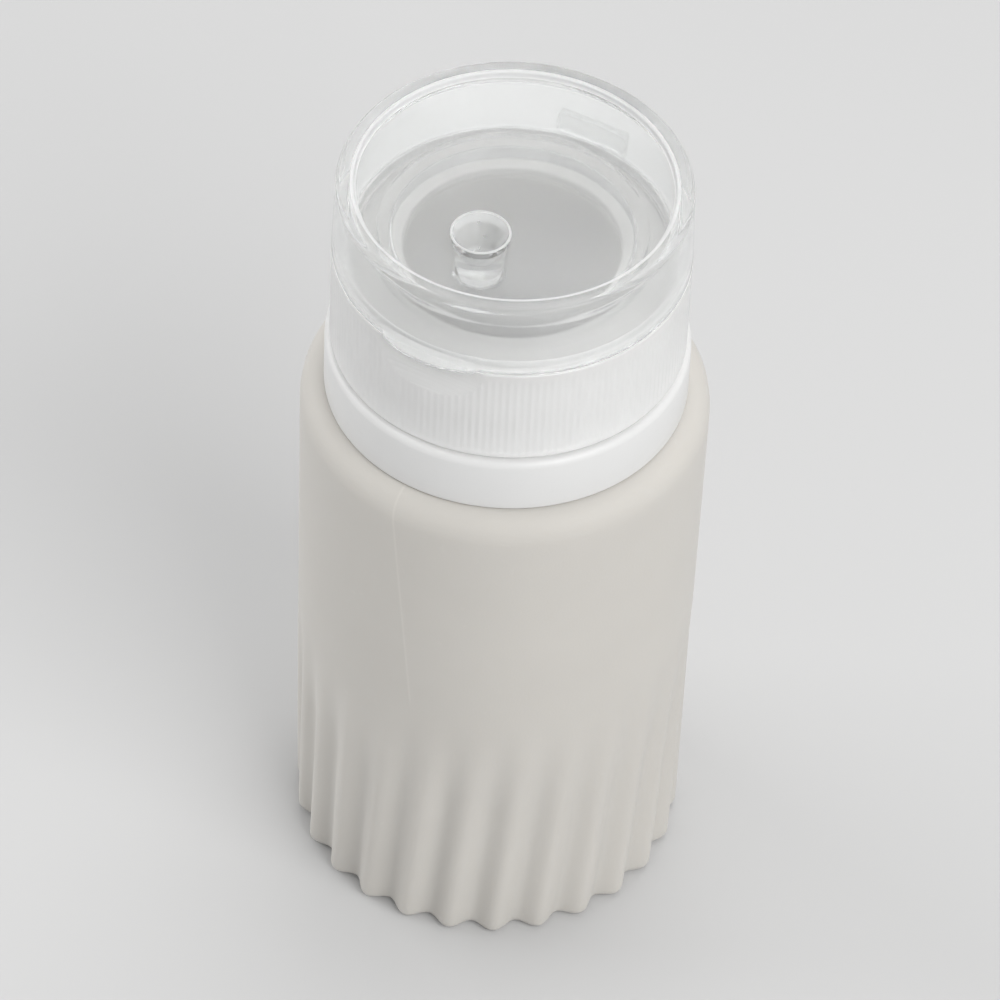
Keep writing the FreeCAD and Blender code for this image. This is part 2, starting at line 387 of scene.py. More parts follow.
class Signal:
    """A shader socket. Python's operators on it add Math nodes."""

    def __init__(self, board: "Board", socket: bpy.types.NodeSocket) -> None:
        """Wraps one output socket of a board."""
        self.board = board
        self.socket = socket

    def maths(self, operation: str, first: Number, second: Number = 0.0) -> "Signal":
        """Adds one Math node.

        Args:
            operation: The node's operation.
            first: Its first value.
            second: Its second value.

        Returns:
            The node's result.
        """
        return self.board.add("ShaderNodeMath", {"operation": operation}, {0: first, 1: second})

    def __add__(self, other: Number) -> "Signal":
        """The sum."""
        return self.maths("ADD", self, other)

    def __radd__(self, other: Number) -> "Signal":
        """The sum, from the right."""
        return self.maths("ADD", other, self)

    def __sub__(self, other: Number) -> "Signal":
        """The difference."""
        return self.maths("SUBTRACT", self, other)

    def __rsub__(self, other: Number) -> "Signal":
        """The difference, from the right."""
        return self.maths("SUBTRACT", other, self)

    def __mul__(self, other: Number) -> "Signal":
        """The product."""
        return self.maths("MULTIPLY", self, other)

    def __rmul__(self, other: Number) -> "Signal":
        """The product, from the right."""
        return self.maths("MULTIPLY", other, self)

    def __pow__(self, other: Number) -> "Signal":
        """The power."""
        return self.maths("POWER", self, other)

    def __abs__(self) -> "Signal":
        """The size without its sign."""
        return self.maths("ABSOLUTE", self)


class Board:
    """The node tree of one material."""

    def __init__(self, tree: bpy.types.NodeTree) -> None:
        """Clears the tree and puts in an output.

        Args:
            tree: The nodes of a new material.
        """
        self.tree = tree
        tree.nodes.clear()
        self.output = tree.nodes.new("ShaderNodeOutputMaterial")

    def add(self, kind: str, settings: dict[str, object], sockets: dict[Union[int, str], Setting],
            output: Union[int, str] = 0) -> Signal:
        """Adds any node.

        Args:
            kind: The node's type.
            settings: What is set on the node itself, such as its operation.
            sockets: Values or links of its inputs.
            output: The output that is wanted.

        Returns:
            That output.
        """
        node = self.tree.nodes.new(kind)
        for name, value in settings.items():
            setattr(node, name, value)
        for key, value in sockets.items():
            if isinstance(value, Signal):
                self.tree.links.new(value.socket, node.inputs[key])
            else:
                node.inputs[key].default_value = value
        return Signal(self, node.outputs[output])

    def place(self) -> Signal:
        """Object coordinates, which are the frame's own."""
        return self.add("ShaderNodeTexCoord", {}, {}, "Object")

    def axes(self) -> tuple[Signal, Signal, Signal]:
        """The three object coordinates, each by itself.

        Returns:
            Across, deep and up.
        """
        parts = self.add("ShaderNodeSeparateXYZ", {}, {0: self.place()})
        outputs = parts.socket.node.outputs
        return Signal(self, outputs[0]), Signal(self, outputs[1]), Signal(self, outputs[2])

    def noise(self, size: float, detail: float = 2.0, stretch: Sequence[float] = (1.0, 1.0, 1.0)) -> Signal:
        """Soft noise from 0 to 1.

        Args:
            size: About how large one patch is.
            detail: Finer layers on top.
            stretch: Shares of the scale along each axis.

        Returns:
            The noise's value.
        """
        spread = self.add("ShaderNodeMapping", {}, {"Vector": self.place(), "Scale": stretch})
        return self.add("ShaderNodeTexNoise", {}, {"Vector": spread, "Scale": 1 / size, "Detail": detail})

    def step(self, value: Number, low: float, high: float) -> Signal:
        """Rises smoothly from 0 to 1.

        Args:
            value: What is measured.
            low: Where the result leaves 0.
            high: Where it reaches 1, which may lie below low.

        Returns:
            The smooth step.
        """
        if high < low:
            return 1.0 - self.step(value, high, low)
        return self.add("ShaderNodeMapRange", {"interpolation_type": "SMOOTHSTEP"},
                        {"Value": value, "From Min": low, "From Max": high})

    def mix(self, share: Number, first: Union[Colour, Signal], second: Union[Colour, Signal]) -> Signal:
        """Blends two colours.

        Args:
            share: 0 for the first, 1 for the second.
            first: A colour.
            second: Another.

        Returns:
            The blend.
        """
        ends = [end if isinstance(end, Signal) else (*end, 1.0) for end in (first, second)]
        return self.add("ShaderNodeMix", {"data_type": "RGBA"}, {0: share, 6: ends[0], 7: ends[1]}, 2)

    def bump(self, height: Signal, depth: float) -> Signal:
        """A relief that the light sees.

        Args:
            height: 0 to 1.
            depth: How high 1 stands.

        Returns:
            The bent normal.
        """
        return self.add("ShaderNodeBump", {}, {"Strength": 1.0, "Distance": depth, "Height": height})

    def show(self, surface: Signal) -> None:
        """Links a shader to the output."""
        self.tree.links.new(surface.socket, self.output.inputs["Surface"])


def shade(colour: Colour, factor: float) -> Colour:
    """A colour made lighter or darker.

    Args:
        colour: Red, green and blue.
        factor: What each is multiplied by.

    Returns:
        The new colour, at most white.
    """
    red, green, blue = (min(1.0, part * factor) for part in colour)
    return red, green, blue


@dataclass(frozen=True)
class Finish:
    """What a surface is made of."""

    name: str
    colour: Colour
    roughness: float

    def material(self) -> bpy.types.Material:
        """Makes the material.

        Returns:
            A new material with this finish's nodes.
        """
        made = bpy.data.materials.new(self.name)
        made.use_nodes = True
        board = Board(made.node_tree)
        board.show(self.surface(board))
        return made

    def surface(self, board: Board) -> Signal:
        """The finish's shader, which each kind of finish gives."""
        raise NotImplementedError


@dataclass(frozen=True)
class MattSilicone(Finish):
    """Soft silicone: matt, cloudy, with a fine moulded skin, a mould seam painted lighter as a highlight,
    and painted shade darkening the flute hollows.
    """

    seam_angle: float = 0.0
    seam_lean: float = 0.0
    seam_top: float = 61.5 * MM
    seam_width: float = 0.22 * MM
    seam_fade: float = 3.0 * MM
    flute_length: float = 34.0 * MM
    wall_radius: float = 20.9 * MM
    hollow_shade_edge: float = 0.4 * MM
    hollow_shade_floor: float = 1.6 * MM
    cloud_size: float = 14.0 * MM
    grain_size: float = 0.28 * MM
    grain_depth: float = 0.012 * MM
    dust_size: float = 1.6 * MM
    dust_from: float = 0.66
    dust_full: float = 0.78

    def surface(self, board: Board) -> Signal:
        """Builds the shader.

        Args:
            board: The material's nodes.

        Returns:
            The shader.
        """
        x, y, z = board.axes()
        turned = self.seam_angle + (self.seam_top - z) * self.seam_lean
        off_seam = abs(x * turned.maths("SINE", turned) - y * turned.maths("COSINE", turned))
        plain = board.step(z, self.flute_length, self.flute_length + self.seam_fade)
        # The mould seam's line: it lowers the roughness and carries a painted highlight in the colour
        # below.
        seam = board.step(off_seam, self.seam_width, 0.0) * plain
        radius = (x * x + y * y) ** 0.5
        fluted = board.step(z, self.flute_length, 0.0)
        edge, floor = self.wall_radius - self.hollow_shade_edge, self.wall_radius - self.hollow_shade_floor
        # Painted shade: mask of the flute hollows, from their edges to their floors.
        hollow = board.step(radius, edge, floor) * fluted
        cloud = board.noise(self.cloud_size, detail=3.0)
        grain = board.noise(self.grain_size)
        dust = board.step(board.noise(self.dust_size, detail=4.0), self.dust_from, self.dust_full)
        tone = board.mix(cloud, shade(self.colour, 0.955), shade(self.colour, 1.04))
        # Painted shade: the flute hollows are darkened towards their floors.
        tone = board.mix(hollow * 0.12, tone, shade(self.colour, 0.8))
        # Painted highlight: the mould seam is painted lighter. The lighter specks are real dust.
        tone = board.mix(seam * 0.2 + dust * 0.08, tone, shade(self.colour, 1.3))
        rough = self.roughness + (cloud - 0.5) * 0.12 - seam * 0.1
        return board.add("ShaderNodeBsdfPrincipled", {}, {
            "Base Color": tone,
            "Roughness": rough,
            "Normal": board.bump(grain + cloud * 0.5, self.grain_depth),
            "Specular IOR Level": 0.35,
            "Subsurface Weight": 0.2,
            "Subsurface Radius": (1.0, 0.9, 0.8),
            "Subsurface Scale": 2.0 * MM,
            "Sheen Weight": 0.12,
            "Sheen Roughness": 0.45,
        })


@dataclass(frozen=True)
class SatinPlastic(Finish):
    """Opaque moulded plastic with a satin skin and faint flow marks."""

    softness: float = 0.08
    cloud_size: float = 9.0 * MM
    flow_size: float = 2.2 * MM
    grain_size: float = 0.2 * MM
    grain_depth: float = 0.004 * MM
    scuff_size: float = 1.1 * MM
    scuff_from: float = 0.62
    scuff_full: float = 0.75

    def surface(self, board: Board) -> Signal:
        """Builds the shader.

        Args:
            board: The material's nodes.

        Returns:
            The shader.
        """
        cloud = board.noise(self.cloud_size, detail=3.0)
        flow = board.noise(self.flow_size, detail=3.0, stretch=(1.0, 1.0, 0.25))
        grain = board.noise(self.grain_size)
        marks = board.noise(self.scuff_size, detail=5.0, stretch=(1.0, 1.0, 3.0))
        scuff = board.step(marks, self.scuff_from, self.scuff_full)
        tone = board.mix(cloud, shade(self.colour, 0.97), shade(self.colour, 1.02))
        tone = board.mix(scuff * 0.1, tone, shade(self.colour, 0.85))
        return board.add("ShaderNodeBsdfPrincipled", {}, {
            "Base Color": tone,
            "Roughness": self.roughness + (flow - 0.5) * 0.14 + scuff * 0.15,
            "Normal": board.bump(grain + flow * 2.0, self.grain_depth),
            "Subsurface Weight": self.softness,
            "Subsurface Radius": (1.0, 1.0, 1.0),
            "Subsurface Scale": 0.8 * MM,
        })


@dataclass(frozen=True)
class SeeThroughPlastic(Finish):
    """Clear or milky moulded plastic that lets lamps through."""

    clearness: float = 0.9
    lamp_share: float = 0.8
    bending: float = 1.49
    gloss: float = 0.0
    cloud_size: float = 8.0 * MM
    flow_size: float = 3.0 * MM
    ripple: float = 0.004 * MM
    scuff_size: float = 0.9 * MM
    scuff_from: float = 0.64
    scuff_full: float = 0.74

    def surface(self, board: Board) -> Signal:
        """Builds the shader.

        Args:
            board: The material's nodes.

        Returns:
            The shader.
        """
        cloud = board.noise(self.cloud_size)
        flow = board.noise(self.flow_size, stretch=(1.0, 1.0, 0.3))
        scuff = board.step(board.noise(self.scuff_size, detail=5.0), self.scuff_from, self.scuff_full)
        tone = board.mix(cloud, shade(self.colour, 0.985), shade(self.colour, 1.01))
        plastic = board.add("ShaderNodeBsdfPrincipled", {}, {
            "Base Color": tone,
            "Roughness": self.roughness + flow * 0.05 + scuff * 0.12,
            "Normal": board.bump(flow, self.ripple),
            "IOR": self.bending,
            "Transmission Weight": self.clearness,
            "Coat Weight": self.gloss,
            "Coat Roughness": 0.12,
            "Coat IOR": 1.5,
        })
        open_air = board.add("ShaderNodeBsdfTransparent", {}, {"Color": (*self.colour, 1.0)})
        lamp = board.add("ShaderNodeLightPath", {}, {}, "Is Shadow Ray")
        return board.add("ShaderNodeMixShader", {}, {0: lamp * self.lamp_share, 1: plastic, 2: open_air})


@dataclass(frozen=True)
class FloorPaint(Finish):
    """The studio's pale floor."""

    cloud_size: float = 120.0 * MM

    def surface(self, board: Board) -> Signal:
        """Builds the shader.

        Args:
            board: The material's nodes.

        Returns:
            The shader.
        """
        cloud = board.noise(self.cloud_size)
        tone = board.mix(cloud, shade(self.colour, 0.985), shade(self.colour, 1.015))
        return board.add("ShaderNodeBsdfPrincipled", {}, {
            "Base Color": tone,
            "Roughness": self.roughness + cloud * 0.1,
            "Specular IOR Level": 0.2,
        })


@dataclass
class Part:
    """A moulded piece that stands for one node of the frame."""

    node: str
    body: str
    slot: str

    def build(self) -> Moulding:
        """Models the piece, which each part gives."""
        raise NotImplementedError

    def dress(self, piece: bpy.types.Object) -> None:
        """Gives the piece its materials, which each part does.

        Args:
            piece: The finished mesh's object.
        """
        raise NotImplementedError

    def coat(self, piece: bpy.types.Object, *finishes: Finish) -> None:
        """Gives a piece its finishes, in the order of its material slots.

        Args:
            piece: The finished mesh's object.
            *finishes: What it is made of.
        """
        for finish in finishes:
            piece.data.materials.append(finish.material())

    def fix(self, piece: bpy.types.Object) -> None:
        """Makes the piece move with its body.

        Args:
            piece: The finished mesh's object.
        """
        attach(piece, self.body)

    def make(self) -> bpy.types.Object:
        """Builds, dresses and places the piece.

        Returns:
            The finished object.
        """
        mould = self.build()
        mould.smooth()
        piece = mould.done()
        self.dress(piece)
        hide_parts(self.node)
        self.fix(piece)
        log.info("%s: %d faces, moves with %s", piece.name, len(piece.data.polygons), self.body)
        return piece


@dataclass
class Levels:
    """Heights and radii that neighbouring pieces share, read from the frame."""

    lid_gap: float = 0.15 * MM
    rim_height: float = 0.8 * MM
    lid_wall: float = 1.3 * MM
    tube_wall: float = 1.6 * MM
    ring_fit: float = 0.1 * MM
    neck_bore: float = 11.0 * MM
    neck_wall: float = 2.2 * MM

    def __post_init__(self) -> None:
        """Reads the boxes of the nodes."""
        _, self.body_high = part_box("bottle_body")
        self.ring_low, self.ring_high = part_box("neck_ring")
        self.washer_low, self.washer_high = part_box("seal_washer")
        self.cap_low, self.cap_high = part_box("screw_cap")
        self.lid_low, self.lid_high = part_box("flip_lid")
        self.strap_low, self.strap_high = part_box("hinge_strap")
        self.shoulder = self.ring_low.z
        self.parting = self.lid_low.z - self.lid_gap
        self.web_top = self.parting + self.rim_height
        self.skirt_radius = self.cap_high.x
        self.lid_bore = self.skirt_radius - self.lid_wall
        self.neck_radius = self.neck_bore + self.neck_wall
        self.tube_radius = self.neck_radius + self.ring_fit + self.tube_wall


@dataclass
class ScrewThread:
    """The thread between the neck ring and the cap."""

    pitch: float = 3.0 * MM
    depth: float = 1.0 * MM
    clearance: float = 0.3 * MM
    root_width: float = 1.5 * MM
    crest_width: float = 0.7 * MM
    sunk: float = 0.4 * MM
    top_margin: float = 0.6 * MM
    start: float = math.radians(35.0)
    ring_turns: float = 1.25
    cap_turns: float = 1.0

    def ridge(self, name: str, foot: float, turns: float, root: float, crest: float) -> Thread:
        """Makes one ridge.

        Args:
            name: The object's name.
            foot: Height of its first point.
            turns: Its length in turns.
            root: Radius of the wall that carries it.
            crest: Radius of its crest.

        Returns:
            The ridge, ready to be joined on.
        """
        sunk = root + math.copysign(self.sunk, root - crest)
        slope = (self.root_width - self.crest_width) / 2 / self.depth
        half_crest = self.crest_width / 2
        half_sunk = half_crest + slope * (self.depth + self.sunk)
        section = Section().to(sunk, -half_sunk).to(crest, -half_crest)
        section.to(crest, half_crest).to(sunk, half_sunk)
        return Thread(name, section, foot, self.pitch, turns, self.start)

    def ring_foot(self, ring_top: float) -> float:
        """Height of the ring thread's first point, below a ring's top."""
        return ring_top - self.top_margin - self.root_width / 2 - self.pitch * self.ring_turns


@dataclass
class SqueezeBottle(Part):
    """The silicone bottle: fluted wall, shoulder, neck and folded lip."""

    levels: Levels
    draft: float = 0.3 * MM
    wall: float = 2.5 * MM
    floor: float = 2.6 * MM
    shoulder_wall: float = 2.4 * MM
    shoulder_round: float = 3.0 * MM
    base_round: float = 1.2 * MM
    cavity_round: float = 2.5 * MM
    recess_radius: float = 14.0 * MM
    recess_depth: float = 0.8 * MM
    lip_overhang: float = 1.7 * MM
    edge_round: float = 0.4 * MM
    flutes: int = 26
    columns_per_flute: int = 16
    flute_depth: float = 1.3 * MM
    flute_length: float = 34.0 * MM
    fade_length: float = 14.0 * MM
    fade_depth: float = 0.8 * MM
    fade_ease: float = 1.25
    wall_cuts: int = 52
    flute_twist: float = math.radians(7.5)
    crest_angle: float = math.radians(-101.3)
    seam_height: float = 0.03 * MM
    seam_reach: float = 0.05 * MM

    @property
    def seam_angle(self) -> float:
        """Direction of the mould's seam at the shoulder, in line with a hollow's foot."""
        return self.crest_angle + math.pi / self.flutes

    @property
    def wall_top(self) -> float:
        """Height at which the wall begins to round over to the shoulder."""
        return self.levels.shoulder - self.shoulder_round

    @property
    def outer(self) -> float:
        """The least distance from the axis at which a point of the section is on the outer wall."""
        return self.levels.body_high.x - self.draft - self.base_round - Moulding.NEAR

    def section(self) -> Section:
        """The bottle's wall, from the middle of the base round to the middle of the floor.

        Returns:
            The outline.
        """
        levels = self.levels
        radius = levels.body_high.x
        base = radius - self.draft
        cavity = radius - self.wall
        cavity_top = levels.shoulder - self.shoulder_wall
        lip = levels.neck_radius + self.lip_overhang
        lip_foot = levels.ring_high.z
        lip_top = levels.body_high.z
        outline = Section()
        outline.to(0.0, self.recess_depth)
        outline.to(self.recess_radius, self.recess_depth, self.edge_round)
        outline.to(self.recess_radius, 0.0, self.edge_round / 2)
        outline.to(base, 0.0, self.base_round)
        outline.to(radius, levels.shoulder, self.shoulder_round, self.wall_cuts)
        outline.to(levels.neck_radius, levels.shoulder)
        outline.to(levels.neck_radius, lip_foot)
        outline.to(lip, lip_foot)
        outline.to(lip, lip_top, self.edge_round)
        outline.to(levels.neck_bore, lip_top, self.edge_round)
        outline.to(levels.neck_bore, cavity_top, self.edge_round)
        outline.to(cavity, cavity_top, self.cavity_round)
        outline.to(cavity, self.floor, self.cavity_round, self.wall_cuts // 4)
        outline.to(0.0, self.floor)
        return outline

    def flute_at(self, height: float) -> float:
        """How deep the hollows are: a little less upwards, then fading out.

        Args:
            height: Height above the base.

        Returns:
            The depth under the crests.
        """
        fade_foot = self.flute_length - self.fade_length
        if height < fade_foot:
            return self.flute_depth + (self.fade_depth - self.flute_depth) * height / fade_foot
        return self.fade_depth * ((self.flute_length - height) / self.fade_length) ** self.fade_ease

    def lean_at(self, height: float) -> float:
        """How far the wall is turned: up to the flutes' top, then back again for the seam.

        Args:
            height: Height above the base.

        Returns:
            The angle, counter-clockwise as seen from above.
        """
        if height < self.flute_length:
            return self.flute_twist * height / self.flute_length
        return self.flute_twist * max(0.0, self.wall_top - height) / (self.wall_top - self.flute_length)

    def press_flutes(self, mould: Moulding, line: Sequence[Vector]) -> None:
        """Presses one hollow, between two crests, into the outer wall.

        Args:
            mould: The strip of wall from crest to crest.
            line: The points of its section.
        """
        crest = Vector((math.cos(self.crest_angle), math.sin(self.crest_angle)))
        column = math.tau / self.flutes / self.columns_per_flute
        for spot in line:
            if spot.x < self.outer or spot.y > self.flute_length:
                continue
            depth = self.flute_at(spot.y)
            for index in range(1, self.columns_per_flute // 2 + 1):
                share = (1 - math.cos(math.tau * index / self.columns_per_flute)) / 2
                columns = (index, self.columns_per_flute - index)

                def in_columns(point: Vector) -> bool:
                    """Whether a point of the strip lies at this spot, in one of these two columns.

                    Args:
                        point: The point's place.

                    Returns:
                        True if it does.
                    """
                    flat = point.to_2d()
                    if abs(point.z - spot.y) > Moulding.NEAR or abs(flat.length - spot.x) > Moulding.NEAR:
                        return False
                    return round(flat.angle(crest) / column) in columns

                mould.pick(in_columns)
                mould.swell(1 - depth * share / spot.x)

    def lean_flutes(self, mould: Moulding, line: Sequence[Vector]) -> None:
        """Turns the outer wall row by row, so that the flutes lean.

        Args:
            mould: The strip of wall from crest to crest.
            line: The points of its section.
        """
        for spot in line:
            if spot.x < self.outer:
                continue
            inner = spot.x - self.flute_depth - Moulding.NEAR

            def in_row(point: Vector) -> bool:
                """Whether a point of the strip is in this row of the outer wall."""
                return abs(point.z - spot.y) < Moulding.NEAR and point.to_2d().length > inner

            mould.pick(in_row)
            mould.swing(self.lean_at(spot.y))

    def raise_seams(self, mould: Moulding) -> None:
        """Lifts the two lines on the plain wall where the mould's halves met.

        Args:
            mould: The whole bottle.
        """

        def on_seam(point: Vector) -> bool:
            """Whether a point of the outer wall lies on a seam.

            Args:
                point: The point's place.

            Returns:
                True if it does.
            """
            if point.to_2d().length < self.outer or not self.flute_length < point.z < self.wall_top:
                return False
            angle = self.seam_angle + self.lean_at(point.z)
            return abs(point.x * math.sin(angle) - point.y * math.cos(angle)) < self.seam_reach

        mould.pick(on_seam)
        mould.swell(1 + self.seam_height / self.levels.body_high.x)

    def build(self) -> Moulding:
        """Models the bottle.

        Returns:
            The mould.
        """
        line = self.section().points()
        mould = Moulding("silicone_bottle")
        mould.trace(line, facing=self.crest_angle)
        mould.turn(self.columns_per_flute, math.tau / self.flutes)
        self.press_flutes(mould, line)
        self.lean_flutes(mould, line)
        mould.repeat(self.flutes)
        mould.weld()
        self.raise_seams(mould)
        return mould

    def dress(self, piece: bpy.types.Object) -> None:
        """Gives the bottle its matt silicone.

        Args:
            piece: The finished mesh's object.
        """
        lean = self.flute_twist / (self.wall_top - self.flute_length)
        finish = MattSilicone(
            "warm_grey_silicone", (0.575, 0.555, 0.52), 0.58, self.seam_angle, lean, self.wall_top,
            flute_length=self.flute_length, wall_radius=self.levels.body_high.x)
        self.coat(piece, finish)


@dataclass
class NeckRing(Part):
    """The white ring: a collar on the shoulder and a threaded tube up to the lip."""

    levels: Levels
    thread: ScrewThread
    collar_height: float = 6.5 * MM
    collar_wall: float = 1.6 * MM
    collar_web: float = 1.6 * MM
    collar_round: float = 0.8 * MM
    foot_round: float = 0.35 * MM
    tube_round: float = 0.3 * MM
    columns: int = 192

    def build(self) -> Moulding:
        """Models the ring and its thread.

        Returns:
            The mould.
        """
        levels = self.levels
        bore = levels.neck_radius + levels.ring_fit
        tube = levels.tube_radius
        collar = levels.ring_high.x
        foot = levels.shoulder
        collar_top = foot + self.collar_height
        web_foot = collar_top - self.collar_web
        ring_top = levels.ring_high.z
        outline = Section()
        outline.to(bore, foot)
        outline.to(tube, foot)
        outline.to(tube, web_foot)
        outline.to(collar - self.collar_wall, web_foot)
        outline.to(collar - self.collar_wall, foot)
        outline.to(collar, foot, self.foot_round)
        outline.to(collar, collar_top, self.collar_round)
        outline.to(tube, collar_top, self.tube_round)
        outline.to(tube, ring_top, self.tube_round)
        outline.to(bore, ring_top)
        mould = Turned("collar_ring", outline, self.columns, closed=True)
        thread = self.thread
        ridge = thread.ridge(
            "ring_ridge", thread.ring_foot(ring_top), thread.ring_turns, tube, tube + thread.depth)
        mould.work(ridge, Way.JOIN)
        return mould

    def dress(self, piece: bpy.types.Object) -> None:
        """Gives the ring its satin white plastic."""
        self.coat(piece, SatinPlastic("white_plastic", (0.725, 0.725, 0.72), 0.38, softness=0.3))


@dataclass
class SealWasher(Part):
    """The soft washer on the bottle's lip."""

    levels: Levels
    setback: float = 0.2 * MM
    edge_round: float = 0.2 * MM
    columns: int = 144

    def build(self) -> Moulding:
        """Models the washer.

        Returns:
            The mould.
        """
        low, high = self.levels.washer_low, self.levels.washer_high
        inner = self.levels.neck_bore + self.setback
        outline = Section()
        outline.to(inner, low.z, self.edge_round)
        outline.to(high.x, low.z, self.edge_round)
        outline.to(high.x, high.z, self.edge_round)
        outline.to(inner, high.z, self.edge_round)
        return Turned("lip_washer", outline, self.columns, closed=True)

    def dress(self, piece: bpy.types.Object) -> None:
        """Gives the washer its soft white rubber."""
        self.coat(piece, SatinPlastic("soft_white_rubber", (0.86, 0.85, 0.83), 0.55, softness=0.2))


@dataclass
class ScrewCap(Part):
    """The milky cap: ribbed skirt, thread, ledge, raised deck, orifice, scoop and hinge land."""

    levels: Levels
    thread: ScrewThread
    skirt_wall: float = 1.8 * MM
    web_thickness: float = 1.35 * MM
    turret_radius: float = 13.8 * MM
    turret_wall: float = 1.3 * MM
    deck_thickness: float = 1.3 * MM
    rim_gap: float = 0.3 * MM
    edge_round: float = 0.4 * MM
    step_round: float = 0.15 * MM
    ribs: int = 156
    columns_per_rib: int = 4
    rib_depth: float = 0.07 * MM
    rib_foot: float = 0.75 * MM
    rib_head: float = 0.9 * MM
    rib_ramp: float = 0.3 * MM
    groove_columns: tuple[int, ...] = (2, 3)
    scoop_round: float = 8.0 * MM
    scoop_depth: float = 1.0 * MM
    scoop_drop: float = 0.5 * MM
    scoop_columns: int = 160
    orifice_radius: float = 2.44 * MM
    orifice_offset: float = 7.2 * MM
    orifice_flare: float = 0.25 * MM
    orifice_columns: int = 64
    land_round: float = 0.12 * MM
    thin_slot: int = 1

    def section(self) -> Section:
        """The cap's wall, from the middle of the deck's top to the middle of its underside.

        Returns:
            The outline.
        """
        levels = self.levels
        skirt = levels.skirt_radius
        bore = skirt - self.skirt_wall
        rim = levels.lid_bore - self.rim_gap
        web_foot = levels.web_top - self.web_thickness
        deck_top = levels.cap_high.z
        deck_foot = deck_top - self.deck_thickness
        turret_bore = self.turret_radius - self.turret_wall
        foot = levels.cap_low.z
        rib_top = levels.parting - self.rib_head
        rib_low = foot + self.rib_foot
        outline = Section()
        outline.to(0.0, deck_top)
        outline.to(self.turret_radius, deck_top, self.edge_round)
        outline.to(self.turret_radius, levels.web_top, self.edge_round)
        outline.to(rim, levels.web_top, self.step_round)
        outline.to(rim, levels.parting, self.step_round)
        outline.to(skirt, levels.parting, self.step_round)
        outline.to(skirt, rib_top)
        outline.to(skirt, rib_top - self.rib_ramp)
        outline.to(skirt, rib_low + self.rib_ramp, cuts=6)
        outline.to(skirt, rib_low)
        outline.to(skirt, foot, self.edge_round)
        outline.to(bore, foot, self.step_round)
        outline.to(bore, web_foot, self.edge_round, cuts=4)
        outline.to(turret_bore, web_foot, self.step_round)
        outline.to(turret_bore, deck_foot, self.edge_round)
        outline.to(0.0, deck_foot)
        return outline

    def press_ribs(self, mould: Moulding) -> None:
        """Presses one groove between two grip ribs.

        Args:
            mould: The strip of cap from rib to rib.
        """
        levels = self.levels
        column = math.tau / self.ribs / self.columns_per_rib
        low = levels.cap_low.z + self.rib_foot + self.rib_ramp / 2
        high = levels.parting - self.rib_head - self.rib_ramp / 2

        def in_groove(point: Vector) -> bool:
            """Whether a point of the strip lies in the groove.

            Args:
                point: The point's place.

            Returns:
                True if it does.
            """
            flat = point.to_2d()
            if not low < point.z < high or flat.length < levels.skirt_radius - Moulding.NEAR:
                return False
            return round(flat.angle(Vector((1.0, 0.0))) / column) in self.groove_columns

        mould.pick(in_groove)
        mould.swell(1 - self.rib_depth / levels.skirt_radius)

    def thumb_scoop(self) -> Moulding:
        """The tool that hollows the skirt under the lid's thumb lip.

        Returns:
            The tool.
        """
        reach = self.levels.skirt_radius
        middle_y = -(reach - self.scoop_depth + self.scoop_round)
        section = Section().to(0.0, -reach).to(self.scoop_round, -reach)
        section.to(self.scoop_round, reach).to(0.0, reach)
        tool = Turned("scoop_tool", section, self.scoop_columns)
        bpy.ops.mesh.select_all(action="SELECT")
        bpy.ops.transform.rotate(value=math.pi / 2, orient_axis="Y", center_override=(0.0, 0.0, 0.0))
        bpy.ops.transform.translate(value=(0.0, middle_y, self.levels.parting - self.scoop_drop))
        return tool

    def orifice(self) -> Moulding:
        """The tool that bores the orifice, with flared ends.

        Returns:
            The tool.
        """
        top = self.levels.cap_high.z
        foot = top - self.deck_thickness
        flare = self.orifice_flare
        wide = self.orifice_radius + 2 * flare
        outline = Section()
        outline.to(0.0, foot - flare).to(wide, foot - flare).to(self.orifice_radius, foot + flare)
        outline.to(self.orifice_radius, top - flare).to(wide, top + flare).to(0.0, top + flare)
        axis = (0.0, -self.orifice_offset, 0.0)
        return Turned("orifice_tool", outline, self.orifice_columns, axis=axis)

    def build(self) -> Moulding:
        """Models the cap.

        Returns:
            The mould.
        """
        levels = self.levels
        bore = levels.skirt_radius - self.skirt_wall
        mould = Moulding("ribbed_cap")
        mould.trace(self.section().points())
        mould.turn(self.columns_per_rib, math.tau / self.ribs)
        self.press_ribs(mould)
        mould.repeat(self.ribs)
        mould.weld()
        thread = self.thread
        ring_foot = thread.ring_foot(levels.ring_high.z)
        ridge = thread.ridge(
            "cap_ridge", ring_foot - thread.pitch / 2, thread.cap_turns, bore,
            levels.tube_radius + thread.clearance)
        mould.work(ridge, Way.JOIN)
        half = levels.strap_high.x
        land_low = Vector((-half, bore + self.skirt_wall / 2, levels.strap_low.z))
        land_high = Vector((half, levels.strap_low.y, levels.parting))
        mould.work(Block("cap_land", land_low, land_high, self.land_round), Way.JOIN)
        mould.work(self.orifice(), Way.CUT)
        mould.work(self.thumb_scoop(), Way.CUT)
        return mould

    def dress(self, piece: bpy.types.Object) -> None:
        """Gives the cap milky plastic, and clearer plastic where its web and deck are thin.

        Args:
            piece: The finished mesh's object.
        """
        milky = SeeThroughPlastic(
            "milky_plastic", (0.955, 0.955, 0.95), 0.3, clearness=0.48, lamp_share=0.5)
        thin = SeeThroughPlastic(
            "thin_deck_plastic", (0.95, 0.95, 0.95), 0.1, clearness=0.9, lamp_share=0.25, bending=1.3)
        self.coat(piece, milky, thin)
        web_foot = self.levels.web_top - self.web_thickness
        ledge = self.levels.lid_bore - self.rim_gap - self.step_round
        for face in piece.data.polygons:
            if face.center.z > web_foot - Moulding.NEAR and face.center.to_2d().length < ledge:
                face.material_index = self.thin_slot


